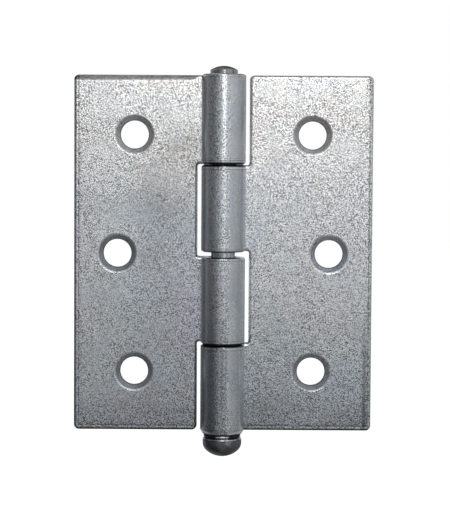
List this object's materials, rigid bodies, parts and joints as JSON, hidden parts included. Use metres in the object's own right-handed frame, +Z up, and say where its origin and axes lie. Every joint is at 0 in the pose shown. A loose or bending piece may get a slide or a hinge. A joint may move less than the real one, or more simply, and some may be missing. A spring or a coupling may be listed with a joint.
{
  "type": "butt hinge",
  "caption": "Small flat-backed steel butt hinge: two countersunk leaves with rolled knuckles that turn on a headed pin, which can't be drawn out.",
  "frame": {"origin": "on the pin's axis, halfway up the whole hinge, pin head and pin end included; the flat backs lie at y = 4.7 mm", "axes": "+Z runs up the pin, away from its domed head; +Y points into the surface that the backs lie on; +X points to the right leaf for a person who faces the countersunk side"},
  "size_m": [0.064, 0.0094, 0.083],
  "materials": {
    "leaf_zinc": "bright zinc plating on cold-rolled steel, finely speckled",
    "pin_zinc": "zinc plating on a headed steel pin, smoother and darker than the leaves"
  },
  "bodies": {
    "left_leaf": {"left_leaf": "leaf_zinc"},
    "right_leaf": {"right_leaf": "leaf_zinc"},
    "pin": {"pin": "pin_zinc"}
  },
  "joints": [
    {"name": "leaf_turn", "type": "hinge", "parent": "left_leaf", "child": "right_leaf", "pos_m": [0, 0, 0], "axis": [0, 0, -1], "range_deg": [-99, 189.5]},
    {"name": "pin_turn", "type": "hinge", "parent": "left_leaf", "child": "pin", "pos_m": [0, 0, 0], "axis": [0, 0, -1], "continuous": true}
  ]
}
